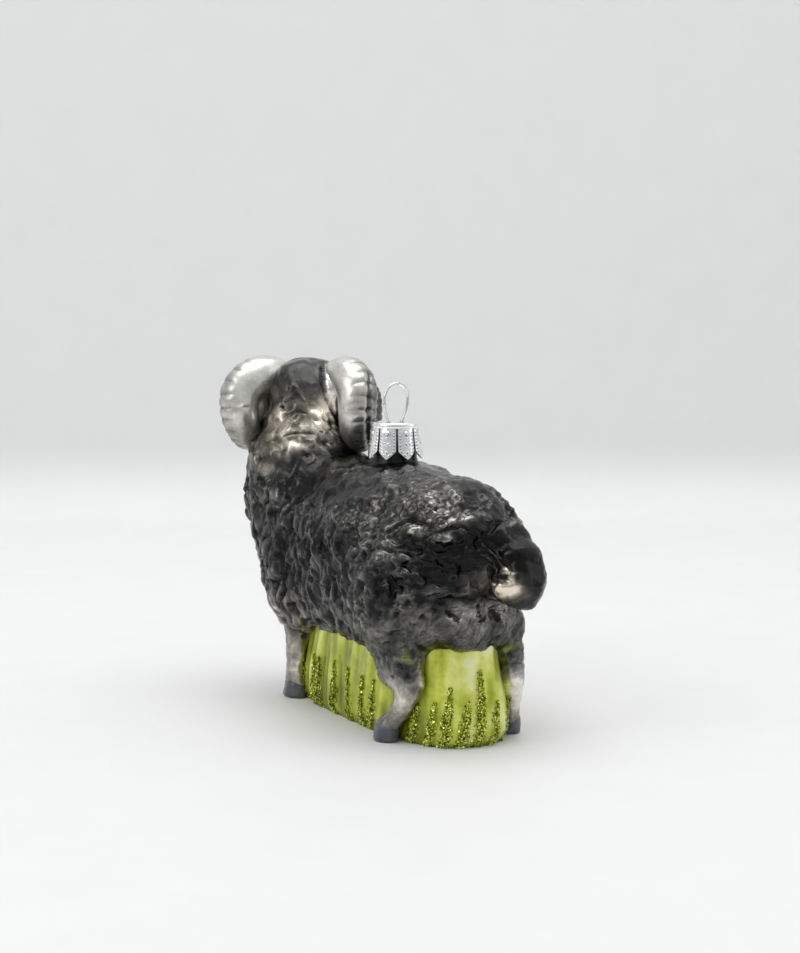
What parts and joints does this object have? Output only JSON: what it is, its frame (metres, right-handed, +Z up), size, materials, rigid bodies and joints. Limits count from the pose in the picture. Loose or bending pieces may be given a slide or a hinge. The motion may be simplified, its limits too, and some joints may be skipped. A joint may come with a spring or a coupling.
{
  "type": "ram-shaped blown-glass tree ornament",
  "caption": "Blown-glass hanging ornament in the shape of a standing ram with coiled horns, a tuft of grass between its legs, and a silver cap with a wire loop on its back.",
  "frame": {"origin": "on the surface that the ornament stands on, straight below the axis of its cap, at the flat underside of the grass", "axes": "+Y the way the body faces, +X to the ram's right, +Z up"},
  "size_m": [0.0463, 0.1053, 0.0812],
  "materials": {
    "smoke_glass": "silvered inside, satin smoke-grey lacquer outside, darker in the hollows",
    "horn_glass": "silvered inside, thin satin silver-white lacquer outside",
    "hoof_glass": "satin slate-grey paint over the glass",
    "eye_paint": "black gloss paint",
    "grass_glass": "lime-green lacquer over silvered glass, with lines of green glitter",
    "neck_glass": "gloss black lacquer",
    "cap_metal": "bright stamped sheet with embossed dots",
    "wire": "bright spring wire"
  },
  "bodies": {
    "root": {"torso": "smoke_glass", "neck": "smoke_glass", "head": "smoke_glass", "tail": "smoke_glass", "ear_left": "smoke_glass", "ear_right": "smoke_glass", "leg_front_left": "smoke_glass", "leg_front_right": "smoke_glass", "leg_hind_left": "smoke_glass", "leg_hind_right": "smoke_glass", "horn_left": "horn_glass", "horn_right": "horn_glass", "hoof_front_left": "hoof_glass", "hoof_front_right": "hoof_glass", "hoof_hind_left": "hoof_glass", "hoof_hind_right": "hoof_glass", "eye_left": "eye_paint", "eye_right": "eye_paint", "grass": "grass_glass", "glass_neck": "neck_glass", "cap": "cap_metal", "hanger": "wire"}
  },
  "joints": []
}
